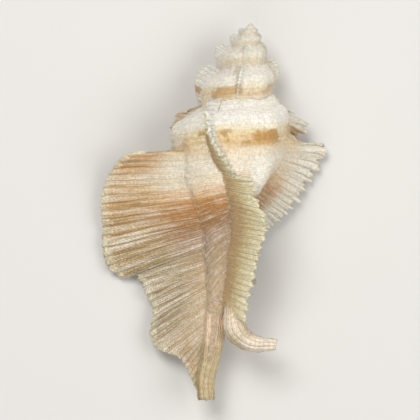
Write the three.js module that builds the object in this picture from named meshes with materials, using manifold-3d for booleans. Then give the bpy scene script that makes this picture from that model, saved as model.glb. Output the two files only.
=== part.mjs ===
// A winged murex shell, grown as one piece, lying on its aperture side.
// Millimetres, +Z up, apex towards +Y, siphonal canal towards -Y.
// The shell is first built round its own axis: azimuth 0 points right (+X), azimuth 90 points up
// (+Z), and growth runs with rising azimuth. "Drop" is the distance from the apex along the axis.
import * as THREE from 'three';
import { mergeVertices } from 'three/addons/utils/BufferGeometryUtils.js';
import Module from 'manifold-3d';

// ---- driving dimensions -------------------------------------------------------------------
const WHORL_GROWTH = 1.64;        // size ratio from one whorl to the next
const WHORLS = 7;                 // whorls from the apex to the lip
const LIP_AZIMUTH = 198;          // degrees, where growth stopped
const COLUMELLA_RADIUS = 2.2;     // solid pillar round the axis
const CROWN_SINK = 1.35;          // how far the first whorls are pressed down, most at CROWN_DROP
const CROWN_DROP = 5;
const BODY_DROP = 66;             // the whorls end here, and the canal goes on
const BODY_ROWS = 52;
const BODY_SIDES = 36;
const BLADE_EDGE = 1.0;           // thickness of a varix at its free edge
const ROOT_DEPTH = 0.6;           // how deep a varix is rooted in the whorl
const REST_PITCH = 0.59;          // degrees about X, brings the three resting points level
const REST_ROLL = 0.46;           // degrees about Y

// Outline of the last whorl at the lip, as [drop, radius], from suture to canal.
const WHORL_OUTLINE = [[17.2, 4.0], [19.6, 7.8], [22.8, 10.6], [26.0, 13.3], [31.0, 13.9], [36.0, 13.7],
  [41.3, 12.2], [46.5, 9.6], [51.5, 6.8], [57.0, 4.7], [63.0, 3.3], [70.0, 2.4]];

// Varix rows, each [front root azimuth, foot width in degrees, root drop,
// tip x, tip drop, tip height above the axis]. The front is the face towards the aperture.
const OUTER_LIP_WING = [
  [196, 26, 19.4, -9.2, 21.2, -1.0], [197, 32, 21.8, -14.2, 22.0, -2.6],
  [197, 42, 25.4, -15.6, 25.0, -3.4], [197.5, 50, 29.0, -13.6, 30.4, -2.0],
  [197.5, 56, 31.4, -24.8, 32.8, -3.8], [198, 60, 34.2, -27.8, 36.6, -6.2],
  [198, 62, 38.5, -29.3, 42.6, -7.6], [198, 66, 43.0, -28.5, 49.4, -8.4],
  [198, 72, 47.5, -26.5, 58.0, -8.8], [198, 76, 49.8, -23.0, 60.4, -8.6],
  [198, 82, 52.0, -19.9, 59.6, -8.4], [198, 88, 54.5, -17.0, 63.2, -8.0],
  [198, 94, 57.5, -14.7, 67.6, -7.6], [198, 100, 60.5, -14.8, 72.4, -7.2],
  [200, 106, 63.5, -13.0, 75.6, -6.4], [200, 108, 68.0, -7.2, 77.4, -4.2],
  [200, 108, 74.0, -2.8, 84.0, -2.0]];
const MIDDLE_VARIX = [
  [142, 14, 18.2, -8.2, 19.2, 7.6], [134, 16, 21.5, -8.4, 21.8, 11.6],
  [128, 18, 26.0, -6.8, 26.6, 14.0], [121, 20, 30.0, -3.6, 30.4, 15.0],
  [116, 22, 32.5, -1.4, 32.4, 14.6], [111, 24, 34.5, 0.6, 34.6, 12.6],
  [108, 26, 36.0, 4.8, 35.4, 13.8], [104, 28, 38.5, 5.4, 38.6, 12.6],
  [98, 28, 41.0, 7.6, 42.2, 13.2], [92, 28, 45.0, 8.8, 45.6, 12.4],
  [88, 28, 50.0, 7.9, 50.6, 10.6], [86, 30, 55.0, 7.4, 56.0, 8.8],
  [84, 32, 60.0, 6.8, 61.4, 7.2], [84, 34, 64.0, 6.6, 67.2, 5.4]];
const RIGHT_WING = [
  [-4, 30, 16.0, 8.6, 16.8, -3.4], [2, 36, 18.6, 12.2, 19.6, -5.0],
  [8, 42, 20.6, 16.2, 21.8, -6.4], [12, 46, 22.8, 14.0, 24.4, -6.8],
  [16, 50, 24.4, 16.6, 26.8, -7.4], [18, 52, 26.2, 20.8, 25.6, -8.6],
  [20, 54, 28.5, 20.0, 29.8, -8.6], [22, 56, 31.5, 17.6, 34.6, -8.2],
  [24, 58, 35.0, 15.4, 39.4, -7.6], [26, 60, 39.0, 12.6, 43.0, -6.8],
  [28, 62, 43.0, 9.4, 46.4, -6.0], [28, 62, 47.5, 8.0, 52.0, -5.4],
  [28, 62, 52.0, 7.2, 58.0, -5.0]];

// Older varices are small fins of one pattern: [azimuth, whorls before the lip, reach].
const OLD_VARICES = [[196, 1, 6.6], [100, 1, 1.8], [-25, 1, 6.0], [196, 2, 8.8], [100, 2, 1.6],
  [-25, 2, 4.4], [196, 3, 8.4], [-25, 3, 5.0]];
const OLD_FIN_DROPS = [19.5, 22.0, 26.0, 31.0, 37.0];
const OLD_FIN_SHARES = [0.15, 0.95, 0.9, 0.7, 0.1];    // of the reach
const OLD_FIN_FOOT = 40;                               // degrees
const EDGE_LIFT = 0.45;                                // of the reach, towards the apex

// Canals, as [x, drop, height, radius].
const OPEN_CANAL = [[0.0, 46.0, -0.4, 3.4], [-0.4, 56.0, -0.8, 3.2], [-0.6, 66.0, -1.0, 2.7],
  [-0.7, 75.0, -1.0, 2.2], [-1.2, 81.0, -1.2, 1.9], [-0.5, 85.6, -1.4, 1.9]];
const CANAL_BORE = [[-1.0, 72.0, -1.2, 0.8], [-1.2, 80.0, -1.3, 0.9], [-0.5, 87.0, -1.5, 1.25]];
const OLD_CANAL = [[2.2, 56.0, 1.2, 1.4], [3.0, 63.0, 1.8, 1.9], [4.4, 69.2, 2.6, 2.5],
  [8.0, 71.5, 3.0, 1.8], [13.6, 71.4, 3.0, 1.0]];
const OLDEST_CANAL = [[2.0, 48.0, -2.6, 2.0], [4.4, 54.0, -3.6, 1.7], [7.0, 58.8, -4.6, 0.9]];

// The aperture: centre and half sizes of the opening at the lip, as radius and drop.
const APERTURE = { radius: 7.7, drop: 35.4, halfWidth: 4.4, halfHeight: 8.2, turn: 190, steps: 16 };
const CANAL_SLIT = [[-4.4, 44.5, -3.8, 1.3], [-2.2, 52.0, -4.4, 1.1], [-1.0, 60.0, -4.0, 1.0],
  [-0.8, 70.0, -3.5, 1.0], [-1.1, 80.0, -3.0, 0.9], [-0.5, 86.6, -3.3, 0.9]];

// ---- shape of the whorls --------------------------------------------------------------------
const radians = (degrees) => THREE.MathUtils.degToRad(degrees);

function outlineRadius(drop) {
  const last = WHORL_OUTLINE.length - 1;
  if (drop <= WHORL_OUTLINE[0][0] || drop >= WHORL_OUTLINE[last][0]) return 0;
  let i = 0;
  while (drop > WHORL_OUTLINE[i + 1][0]) i += 1;
  const slope = (j) => {
    const before = WHORL_OUTLINE[Math.max(j - 1, 0)];
    const after = WHORL_OUTLINE[Math.min(j + 1, last)];
    return (after[1] - before[1]) / (after[0] - before[0]);
  };
  const [x0, y0] = WHORL_OUTLINE[i];
  const [x1, y1] = WHORL_OUTLINE[i + 1];
  const h = x1 - x0;
  const s = (drop - x0) / h;
  return (1 + 2 * s) * (1 - s) ** 2 * y0 + s * (1 - s) ** 2 * h * slope(i)
    + s * s * (3 - 2 * s) * y1 + s * s * (s - 1) * h * slope(i + 1);
}

// Size of the shell, as a share of its size at the lip, at an azimuth and a number of whorls back.
function growth(azimuth, whorlsBack = 0) {
  const behindLip = THREE.MathUtils.euclideanModulo(LIP_AZIMUTH - azimuth, 360);
  return WHORL_GROWTH ** (-behindLip / 360 - whorlsBack);
}

function bodyRadius(azimuth, drop) {
  let radius = Math.min(COLUMELLA_RADIUS, 0.4 * drop);
  for (let whorl = 0; whorl < WHORLS; whorl += 1) {
    const size = growth(azimuth, whorl);
    radius = Math.max(radius, size * outlineRadius(drop / size));
  }
  return radius;
}

// The spire is blunter than the rest of the shell, as its first whorls are pressed down on it.
const pressed = (drop) => drop - CROWN_SINK * (drop / CROWN_DROP) * Math.exp(1 - drop / CROWN_DROP);

const aroundAxis = (azimuth, drop, radius) => new THREE.Vector3(
  radius * Math.cos(radians(azimuth)), -pressed(drop), radius * Math.sin(radians(azimuth)));

// ---- solids -----------------------------------------------------------------------------------
const wasm = await Module();
wasm.setup();

// A closed solid through a row of rings that all have the same number of points.
function loft(rings) {
  const sides = rings[0].length;
  const points = rings.flat();
  const faces = [];
  for (let i = 0; i + 1 < rings.length; i += 1) {
    for (let j = 0; j < sides; j += 1) {
      const a = i * sides + j;
      const b = i * sides + (j + 1) % sides;
      faces.push(a, b, b + sides, a, b + sides, a + sides);
    }
  }
  const cap = (ring, first, flip) => {
    const centre = new THREE.Vector3();
    ring.forEach((point) => centre.addScaledVector(point, 1 / sides));
    const hub = points.push(centre) - 1;
    for (let j = 0; j < sides; j += 1) {
      const pair = [first + j, first + (j + 1) % sides];
      faces.push(hub, pair[flip ? 0 : 1], pair[flip ? 1 : 0]);
    }
  };
  cap(rings[0], 0, false);
  cap(rings[rings.length - 1], (rings.length - 1) * sides, true);
  return solid(points, faces);
}

function solid(points, faces) {
  let volume = 0;
  for (let i = 0; i < faces.length; i += 3) {
    const [a, b, c] = [points[faces[i]], points[faces[i + 1]], points[faces[i + 2]]];
    volume += a.dot(b.clone().cross(c));
  }
  const geometry = new THREE.BufferGeometry().setFromPoints(points);
  geometry.setIndex(volume > 0 ? faces : faces.toReversed());
  const merged = mergeVertices(geometry, 1e-5);
  return new wasm.Manifold(new wasm.Mesh({
    numProp: 3,
    vertProperties: new Float32Array(merged.attributes.position.array),
    triVerts: new Uint32Array(merged.index.array),
  }));
}

function whorls() {
  const rings = [];
  for (let row = 0; row <= BODY_ROWS; row += 1) {
    const drop = BODY_DROP * (0.004 + 0.996 * (row / BODY_ROWS) ** 1.25);
    const ring = [];
    for (let side = 0; side < BODY_SIDES; side += 1) {
      const azimuth = LIP_AZIMUTH - (359.4 * side) / (BODY_SIDES - 1);
      ring.push(aroundAxis(azimuth, drop, bodyRadius(azimuth, drop)));
    }
    rings.push(ring);
  }
  return loft(rings);
}

const curveThrough = (points) => new THREE.CatmullRomCurve3(points, false, 'centripetal');

// A blade from a wide foot on the whorl, between its front and back root lines, to a thin free
// edge. Its middle is bowed upwards by a share of its reach. Its front and back faces are straight
// at a flare of 1 and hollow above it.
function blade(fronts, backs, tips, rows, steps, bow, edge, flares = [2, 2]) {
  const [frontLine, backLine, edgeLine] = [fronts, backs, tips].map(curveThrough);
  const middle = (t, u) => {
    const root = frontLine.getPoint(t).lerp(backLine.getPoint(t), 0.5);
    const tip = edgeLine.getPoint(t);
    const lift = bow * root.distanceTo(tip) * 4 * u * (1 - u);
    return root.lerp(tip, u).add(new THREE.Vector3(0, 0, lift));
  };
  const rings = [];
  for (let row = 0; row <= rows; row += 1) {
    const t = row / rows;
    const foot = backLine.getPoint(t).sub(frontLine.getPoint(t)).multiplyScalar(0.5);
    const back = [];
    const front = [];
    for (let step = 0; step <= steps; step += 1) {
      const u = step / steps;
      const along = middle(Math.min(t + 0.01, 1), u).sub(middle(Math.max(t - 0.01, 0), u));
      const across = middle(t, Math.min(u + 0.05, 1)).sub(middle(t, Math.max(u - 0.05, 0)));
      const normal = along.cross(across).setLength(edge / 2);
      if (normal.dot(foot) < 0) normal.negate();
      const [frontHalf, backHalf] = flares.map((flare) => foot.clone().lerp(normal, 1 - (1 - u) ** flare));
      back.push(middle(t, u).add(backHalf));
      front.unshift(middle(t, u).sub(frontHalf));
    }
    rings.push([...back, ...front]);
  }
  return loft(rings);
}

function varix(table, rows, steps, bow, flares) {
  const root = (azimuth, drop) => aroundAxis(azimuth, drop, bodyRadius(azimuth, drop) - ROOT_DEPTH);
  const fronts = table.map(([azimuth, , drop]) => root(azimuth, drop));
  const backs = table.map(([azimuth, foot, drop]) => root(azimuth - foot, drop));
  const tips = table.map(([, , , x, drop, height]) => new THREE.Vector3(x, -drop, height));
  return blade(fronts, backs, tips, rows, steps, bow, BLADE_EDGE, flares);
}

function oldVarix(azimuth, whorlsBack, reach) {
  const size = growth(azimuth, whorlsBack);
  const radii = OLD_FIN_DROPS.map((drop) => size * outlineRadius(drop));
  const line = (turn, outward) => OLD_FIN_DROPS.map((drop, i) => {
    const stretch = size * reach * OLD_FIN_SHARES[i];
    return aroundAxis(azimuth + turn, drop * size - (outward ? EDGE_LIFT * stretch : 0),
      radii[i] + (outward ? stretch : -ROOT_DEPTH * size));
  });
  return blade(line(OLD_FIN_FOOT / 2, false), line(-OLD_FIN_FOOT / 2, false), line(0, true),
    7, 2, 0, BLADE_EDGE * Math.sqrt(size));
}

function tube(table, rows, sides) {
  const line = curveThrough(table.map(([x, drop, height]) => new THREE.Vector3(x, -drop, height)));
  const rings = [];
  for (let row = 0; row <= rows; row += 1) {
    const t = row / rows;
    const place = t * (table.length - 1);
    const i = Math.min(Math.floor(place), table.length - 2);
    const radius = THREE.MathUtils.lerp(table[i][3], table[i + 1][3], place - i);
    const centre = line.getPoint(t);
    const forward = line.getTangent(t);
    const side = new THREE.Vector3(0, 0, 1).cross(forward).normalize();
    const up = forward.clone().cross(side);
    rings.push(Array.from({ length: sides }, (_, j) => {
      const turn = (2 * Math.PI * j) / sides;
      return centre.clone().addScaledVector(side, radius * Math.cos(turn))
        .addScaledVector(up, radius * Math.sin(turn));
    }));
  }
  return loft(rings);
}

function aperture() {
  const { radius, drop, halfWidth, halfHeight, turn, steps } = APERTURE;
  const sides = 14;
  const rings = [];
  for (let step = 0; step <= steps; step += 1) {
    const back = turn * (step / steps) - 10;
    const size = WHORL_GROWTH ** (-back / 360);
    const taper = Math.sqrt(1 - (0.92 * step / steps) ** 3);
    rings.push(Array.from({ length: sides }, (_, j) => {
      const angle = (2 * Math.PI * j) / sides;
      const r = size * (radius + halfWidth * taper * Math.cos(angle));
      const d = size * (drop + halfHeight * taper * Math.sin(angle));
      return aroundAxis(LIP_AZIMUTH - back, d, r);
    }));
  }
  return loft(rings);
}

// ---- the shell -----------------------------------------------------------------------------
function shellSolid() {
  let shell = whorls()
    .add(varix(OUTER_LIP_WING, 42, 6, 0.02, [2, 1.35]))
    .add(varix(MIDDLE_VARIX, 30, 4, 0.04))
    .add(varix(RIGHT_WING, 34, 4, 0, [1.25, 2]))
    .add(tube(OPEN_CANAL, 12, 12))
    .add(tube(OLD_CANAL, 10, 10))
    .add(tube(OLDEST_CANAL, 5, 8));
  OLD_VARICES.forEach((fin) => {
    shell = shell.add(oldVarix(...fin));
  });
  return shell.subtract(aperture()).subtract(tube(CANAL_SLIT, 12, 6)).subtract(tube(CANAL_BORE, 4, 6));
}

function geometryOf(body) {
  const mesh = body.getMesh();
  const geometry = new THREE.BufferGeometry();
  geometry.setAttribute('position', new THREE.BufferAttribute(mesh.vertProperties, mesh.numProp));
  geometry.setIndex(new THREE.BufferAttribute(mesh.triVerts, 1));
  return geometry;
}

const shellGeometry = geometryOf(shellSolid());
shellGeometry.rotateX(radians(REST_PITCH)).rotateY(radians(REST_ROLL));
shellGeometry.computeBoundingBox();
const { min, max } = shellGeometry.boundingBox;
shellGeometry.translate(-(min.x + max.x) / 2, -(min.y + max.y) / 2, -min.z);
shellGeometry.computeVertexNormals();

const shell = new THREE.Mesh(shellGeometry, new THREE.MeshStandardMaterial({
  color: 0xe6cda4, roughness: 0.5, metalness: 0 }));
shell.name = 'shell';

const group = new THREE.Group();
group.add(shell);
export default group;
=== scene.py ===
"""A winged murex shell: cream aragonite with ochre spiral bands, lying on its aperture side.

The shell is grown in millimetres round its own axis (azimuth 0 to the right, 90 up, growth with
rising azimuth, "drop" = distance from the apex), then laid down into the frame's box in metres.
"""

import math

import bpy
import numpy as np
from mathutils import Matrix, Vector, kdtree


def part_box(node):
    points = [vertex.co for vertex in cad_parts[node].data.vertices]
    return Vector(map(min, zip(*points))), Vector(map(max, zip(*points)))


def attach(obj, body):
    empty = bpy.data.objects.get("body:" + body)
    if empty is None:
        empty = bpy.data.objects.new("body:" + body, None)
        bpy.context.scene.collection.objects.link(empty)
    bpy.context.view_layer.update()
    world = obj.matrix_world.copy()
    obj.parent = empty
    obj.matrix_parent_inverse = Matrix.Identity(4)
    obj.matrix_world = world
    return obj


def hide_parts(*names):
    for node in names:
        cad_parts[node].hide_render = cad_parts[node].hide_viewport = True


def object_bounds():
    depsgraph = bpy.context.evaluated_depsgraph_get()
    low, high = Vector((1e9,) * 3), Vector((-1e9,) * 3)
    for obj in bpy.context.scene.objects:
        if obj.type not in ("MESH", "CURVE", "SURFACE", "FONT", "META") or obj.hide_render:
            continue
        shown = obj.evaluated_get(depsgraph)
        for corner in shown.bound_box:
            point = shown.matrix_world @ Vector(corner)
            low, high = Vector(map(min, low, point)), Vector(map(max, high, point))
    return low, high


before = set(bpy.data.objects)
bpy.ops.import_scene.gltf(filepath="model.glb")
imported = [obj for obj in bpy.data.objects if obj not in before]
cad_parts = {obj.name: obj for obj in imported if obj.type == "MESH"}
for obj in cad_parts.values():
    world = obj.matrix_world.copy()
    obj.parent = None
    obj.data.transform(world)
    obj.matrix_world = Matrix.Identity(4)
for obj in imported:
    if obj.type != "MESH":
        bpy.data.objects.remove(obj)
cad_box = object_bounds()

MM = 0.001

# ---- the shell's driving sizes, in millimetres and degrees -----------------------------------
# The solid has the same values for these and for the tables below, but fewer old varices.
WHORL_GROWTH = 1.64
WHORLS = 7
LIP_AZIMUTH = 198.0
COLUMELLA_RADIUS = 2.2
APEX_SLOPE = 0.4         # how much the very tip widens for each millimetre of drop
CROWN_SINK = 1.35        # how far the first whorls are pressed down, most at CROWN_DROP
CROWN_DROP = 5.0
BODY_DROP = 66.0         # where the last row closes on the axis
REST_PITCH = 0.59
REST_ROLL = 0.46

# The solid's blades are thicker at the edge and their roots start deeper.
BLADE_EDGE = 0.7
ROOT_DEPTH = 0.3

# The solid has none of these.
SHELL_LENGTH = 85.0      # the outline's curves and colour bands are spread over this drop
OUTLINE_SCALE = 14.5     # the outline curve's full height
OUTLINE_ENDS = (0.4, 1.0)   # how far past its first and last points the outline falls to 0
CORD_SPACING = 1.35
KNOBS = 3                # to a whorl, between the varices
KNOB_AZIMUTH = 56        # where the first one stands
KNOB_HEIGHT = 2.0
KEEL_HEIGHT = 0.9
CANAL_BAND = 80.0        # the canals take their bands from this part of the outline

# Height of the knobs and the keel along the outline; the keel is flat at 0.5.
KNOB_SHARES = [(0, 0), (0.26, 0), (0.32, 0.8), (0.43, 0.4), (0.5, 1), (0.6, 0), (1, 0)]
KEEL_SHARES = [(0, 0.5), (0.2, 0.5), (0.25, 0.2), (0.305, 1), (0.36, 0.5), (1, 0.5)]

# The whorls' grid, whose sides run from 0 to 1.
WHORL_COLUMNS = 220
WHORL_ROWS = 190
ROW_CROWDING = 1.25      # above 1, rows crowd towards the apex
GRID_FIRST = 0.0001      # only the first row is before this
GRID_LAST = 0.9999       # only the last row and column are past this
SEAM_STRETCH = 1.003     # brings the last column but one close to the lip's wall
WELD = 0.0005

# Relief heights at the lip's size, and the seed of the relief's noise.
RELIEF = {"Cord height": 0.16, "Wing cord height": 0.36, "Flounce height": 0.2,
          "Grain height": 0.2, "Lump height": 1.2, "Seed": 3.0}

# Lengths in the finish, also at the lip's size.
WING_REACH = 17.0        # about how far a large varix stands out
WHORL_WALK = 75.0        # about once round the last whorl
GROWTH_LINE = 0.6
THREAD = 0.52

# Outline of the last whorl at the lip, [drop, radius], from suture to canal.
WHORL_OUTLINE = np.array([
    [17.2, 4.0], [19.6, 7.8], [22.8, 10.6], [26.0, 13.3], [31.0, 13.9], [36.0, 13.7],
    [41.3, 12.2], [46.5, 9.6], [51.5, 6.8], [57.0, 4.7], [63.0, 3.3], [70.0, 2.4]])

# Varix rows: front root azimuth, foot in degrees, root drop, tip x, tip drop, tip height.
OUTER_LIP_WING = [
    [196, 26, 19.4, -9.2, 21.2, -1.0], [197, 32, 21.8, -14.2, 22.0, -2.6],
    [197, 42, 25.4, -15.6, 25.0, -3.4], [197.5, 50, 29.0, -13.6, 30.4, -2.0],
    [197.5, 56, 31.4, -24.8, 32.8, -3.8], [198, 60, 34.2, -27.8, 36.6, -6.2],
    [198, 62, 38.5, -29.3, 42.6, -7.6], [198, 66, 43.0, -28.5, 49.4, -8.4],
    [198, 72, 47.5, -26.5, 58.0, -8.8], [198, 76, 49.8, -23.0, 60.4, -8.6],
    [198, 82, 52.0, -19.9, 59.6, -8.4], [198, 88, 54.5, -17.0, 63.2, -8.0],
    [198, 94, 57.5, -14.7, 67.6, -7.6], [198, 100, 60.5, -14.8, 72.4, -7.2],
    [200, 106, 63.5, -13.0, 75.6, -6.4], [200, 108, 68.0, -7.2, 77.4, -4.2],
    [200, 108, 74.0, -2.8, 84.0, -2.0]]
MIDDLE_VARIX = [
    [142, 14, 18.2, -8.2, 19.2, 7.6], [134, 16, 21.5, -8.4, 21.8, 11.6],
    [128, 18, 26.0, -6.8, 26.6, 14.0], [121, 20, 30.0, -3.6, 30.4, 15.0],
    [116, 22, 32.5, -1.4, 32.4, 14.6], [111, 24, 34.5, 0.6, 34.6, 12.6],
    [108, 26, 36.0, 4.8, 35.4, 13.8], [104, 28, 38.5, 5.4, 38.6, 12.6],
    [98, 28, 41.0, 7.6, 42.2, 13.2], [92, 28, 45.0, 8.8, 45.6, 12.4],
    [88, 28, 50.0, 7.9, 50.6, 10.6], [86, 30, 55.0, 7.4, 56.0, 8.8],
    [84, 32, 60.0, 6.8, 61.4, 7.2], [84, 34, 64.0, 6.6, 67.2, 5.4]]
RIGHT_WING = [
    [-4, 30, 16.0, 8.6, 16.8, -3.4], [2, 36, 18.6, 12.2, 19.6, -5.0],
    [8, 42, 20.6, 16.2, 21.8, -6.4], [12, 46, 22.8, 14.0, 24.4, -6.8],
    [16, 50, 24.4, 16.6, 26.8, -7.4], [18, 52, 26.2, 20.8, 25.6, -8.6],
    [20, 54, 28.5, 20.0, 29.8, -8.6], [22, 56, 31.5, 17.6, 34.6, -8.2],
    [24, 58, 35.0, 15.4, 39.4, -7.6], [26, 60, 39.0, 12.6, 43.0, -6.8],
    [28, 62, 43.0, 9.4, 46.4, -6.0], [28, 62, 47.5, 8.0, 52.0, -5.4],
    [28, 62, 52.0, 7.2, 58.0, -5.0]]

# Older varices: azimuth, whorls before the lip, reach.
OLD_VARICES = [(196, 1, 6.6), (100, 1, 1.8), (-25, 1, 6.0), (196, 2, 8.8), (100, 2, 1.6),
               (-25, 2, 4.4), (196, 3, 8.4), (-25, 3, 5.0), (196, 4, 9.0), (-25, 4, 6.0)]
OLD_FIN_DROPS = np.array([19.5, 22.0, 26.0, 31.0, 37.0])
OLD_FIN_SHARES = np.array([0.15, 0.95, 0.9, 0.7, 0.1])
OLD_FIN_FOOT = 40.0
EDGE_LIFT = 0.45

# Canals: x, drop, height, radius.
OPEN_CANAL = [[0.0, 46.0, -0.4, 3.4], [-0.4, 56.0, -0.8, 3.2], [-0.6, 66.0, -1.0, 2.7],
              [-0.7, 75.0, -1.0, 2.2], [-1.2, 81.0, -1.2, 1.9], [-0.5, 85.6, -1.4, 1.9]]
CANAL_BORE = [[-1.0, 72.0, -1.2, 0.8], [-1.2, 80.0, -1.3, 0.9], [-0.5, 87.0, -1.5, 1.25]]
OLD_CANAL = [[2.2, 56.0, 1.2, 1.4], [3.0, 63.0, 1.8, 1.9], [4.4, 69.2, 2.6, 2.5],
             [8.0, 71.5, 3.0, 1.8], [13.6, 71.4, 3.0, 1.0]]
OLDEST_CANAL = [[2.0, 48.0, -2.6, 2.0], [4.4, 54.0, -3.6, 1.7], [7.0, 58.8, -4.6, 0.9]]
CANAL_SLIT = [[-4.4, 44.5, -3.8, 1.3], [-2.2, 52.0, -4.4, 1.1], [-1.0, 60.0, -4.0, 1.0],
              [-0.8, 70.0, -3.5, 1.0], [-1.1, 80.0, -3.0, 0.9], [-0.5, 86.6, -3.3, 0.9]]
APERTURE = {"radius": 7.7, "drop": 35.4, "half_width": 4.4, "half_height": 8.2, "turn": 190.0}

# What every point of the shell remembers: its place along the outline (mm at the lip's size),
# whorls grown after it, its share of the way out on a varix, and how far the animal's mantle
# glazed it, from 0 to 1.
MARKS = ("cord", "age", "reach", "glaze")

JOIN_WIDTH = 1.5         # how far from a join the skin is softened
JOIN_ROUNDS = 10
JOIN_STEP = 0.6          # share of the way to its neighbours' middle that a point moves each round
JOIN_GAP = 0.002         # a point farther than this from all the pieces' own lies on a join

MATH = "ShaderNodeMath"
MIX = "ShaderNodeMix"
NOISE = "ShaderNodeTexNoise"
RAMP = "ShaderNodeValToRGB"

# The camera looks straight down through a long lens, turned so that the spire leans right.
CAMERA_HEIGHT = 0.9
VIEW_WIDTH = 0.0957
VIEW_CENTRE = (0.0, 0.0)
VIEW_ROLL = 6.5
SENSOR_WIDTH = 36.0      # the camera's own, in millimetres


def linear(colour):
    """An sRGB hex value as linear red, green, blue and alpha."""
    parts = [int(colour[i:i + 2], 16) / 255 for i in (0, 2, 4)]
    return [p / 12.92 if p <= 0.04045 else ((p + 0.055) / 1.055) ** 2.4 for p in parts] + [1.0]


def add(tree, kind, *values, named=None, stops=None, curve=None, **settings):
    """Adds a node, with its settings and with links, values or hex colours for its inputs."""
    node = tree.nodes.new(kind)
    for name, setting in settings.items():
        setattr(node, name, setting)
    for key, value in [*enumerate(values), *(named or {}).items()]:
        if value is None:
            continue
        socket = node.inputs[key]
        if isinstance(value, bpy.types.Node):
            value = next(output for output in value.outputs if output.enabled)
        if isinstance(value, bpy.types.NodeSocket):
            tree.links.new(value, socket)
        else:
            socket.default_value = linear(value) if socket.type == "RGBA" else value
    for points, knots in ((stops, lambda: node.color_ramp.elements),
                          (curve, lambda: node.mapping.curves[0].points)):
        while points and len(knots()) < len(points):
            knots().new(*[0.5] * (1 if points is stops else 2))
    for knot, (place, colour) in zip(node.color_ramp.elements if stops else (), stops or ()):
        knot.position = place
        knot.color = linear(colour)
    for knot, point in zip(node.mapping.curves[0].points if curve else (), curve or ()):
        knot.location = point
        knot.handle_type = "AUTO_CLAMPED"
    if curve:
        node.mapping.update()
    return node


def run_tree(piece, tree, sizes):
    """Runs a Geometry Nodes tree on a piece and returns the result as a plain mesh object."""
    modifier = piece.modifiers.new(tree.name, "NODES")
    modifier.node_group = tree
    for socket in tree.interface.items_tree:
        if socket.name in sizes:
            modifier[socket.identifier] = sizes[socket.name]
    return bake(piece)


def bake(piece):
    """Replaces a piece by a plain mesh object of what its modifiers make."""
    evaluated = piece.evaluated_get(bpy.context.evaluated_depsgraph_get())
    mesh = bpy.data.meshes.new_from_object(evaluated)
    name = piece.name
    bpy.data.objects.remove(piece)
    mesh.name = name
    result = bpy.data.objects.new(name, mesh)
    bpy.context.scene.collection.objects.link(result)
    return result


# ---- whorls ----------------------------------------------------------------------------------
def outline_radius(drop):
    """Radius of the lip's outline at a drop, smooth between its points and 0 outside them."""
    x, y = WHORL_OUTLINE.T
    slopes = np.gradient(y, x)
    slopes[1:-1] = (y[2:] - y[:-2]) / (x[2:] - x[:-2])
    drop = np.asarray(drop, dtype=float)
    i = np.clip(np.searchsorted(x, drop) - 1, 0, len(x) - 2)
    h = x[i + 1] - x[i]
    s = (drop - x[i]) / h
    radius = ((1 + 2 * s) * (1 - s) ** 2 * y[i] + s * (1 - s) ** 2 * h * slopes[i]
              + s * s * (3 - 2 * s) * y[i + 1] + s * s * (s - 1) * h * slopes[i + 1])
    return np.where((drop > x[0]) & (drop < x[-1]), radius, 0.0)


def whorls_since(azimuth):
    """How much of a whorl has grown since the lip was at an azimuth."""
    return ((LIP_AZIMUTH - azimuth) % 360) / 360


def growth(azimuth, whorls_back=0):
    """The shell's size when its lip was at an azimuth, as a share of its size now."""
    return WHORL_GROWTH ** (-whorls_since(azimuth) - whorls_back)


def body_radius(azimuth, drop):
    """Radius of the widest whorl at an azimuth and drop."""
    radius = np.minimum(COLUMELLA_RADIUS, APEX_SLOPE * np.asarray(drop, dtype=float))
    for whorl in range(WHORLS):
        size = growth(azimuth, whorl)
        radius = np.maximum(radius, size * outline_radius(drop / size))
    return radius


def pressed(drop):
    """The spire is blunter than the rest, as its first whorls are pressed down on it."""
    return drop - CROWN_SINK * (drop / CROWN_DROP) * np.exp(1 - drop / CROWN_DROP)


def around_axis(azimuth, drop, radius):
    """Points at an azimuth, drop and radius, as x, y and z."""
    turn = np.radians(azimuth)
    places = np.broadcast_arrays(radius * np.cos(turn), -pressed(drop), radius * np.sin(turn))
    return np.stack(places, -1)


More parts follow.
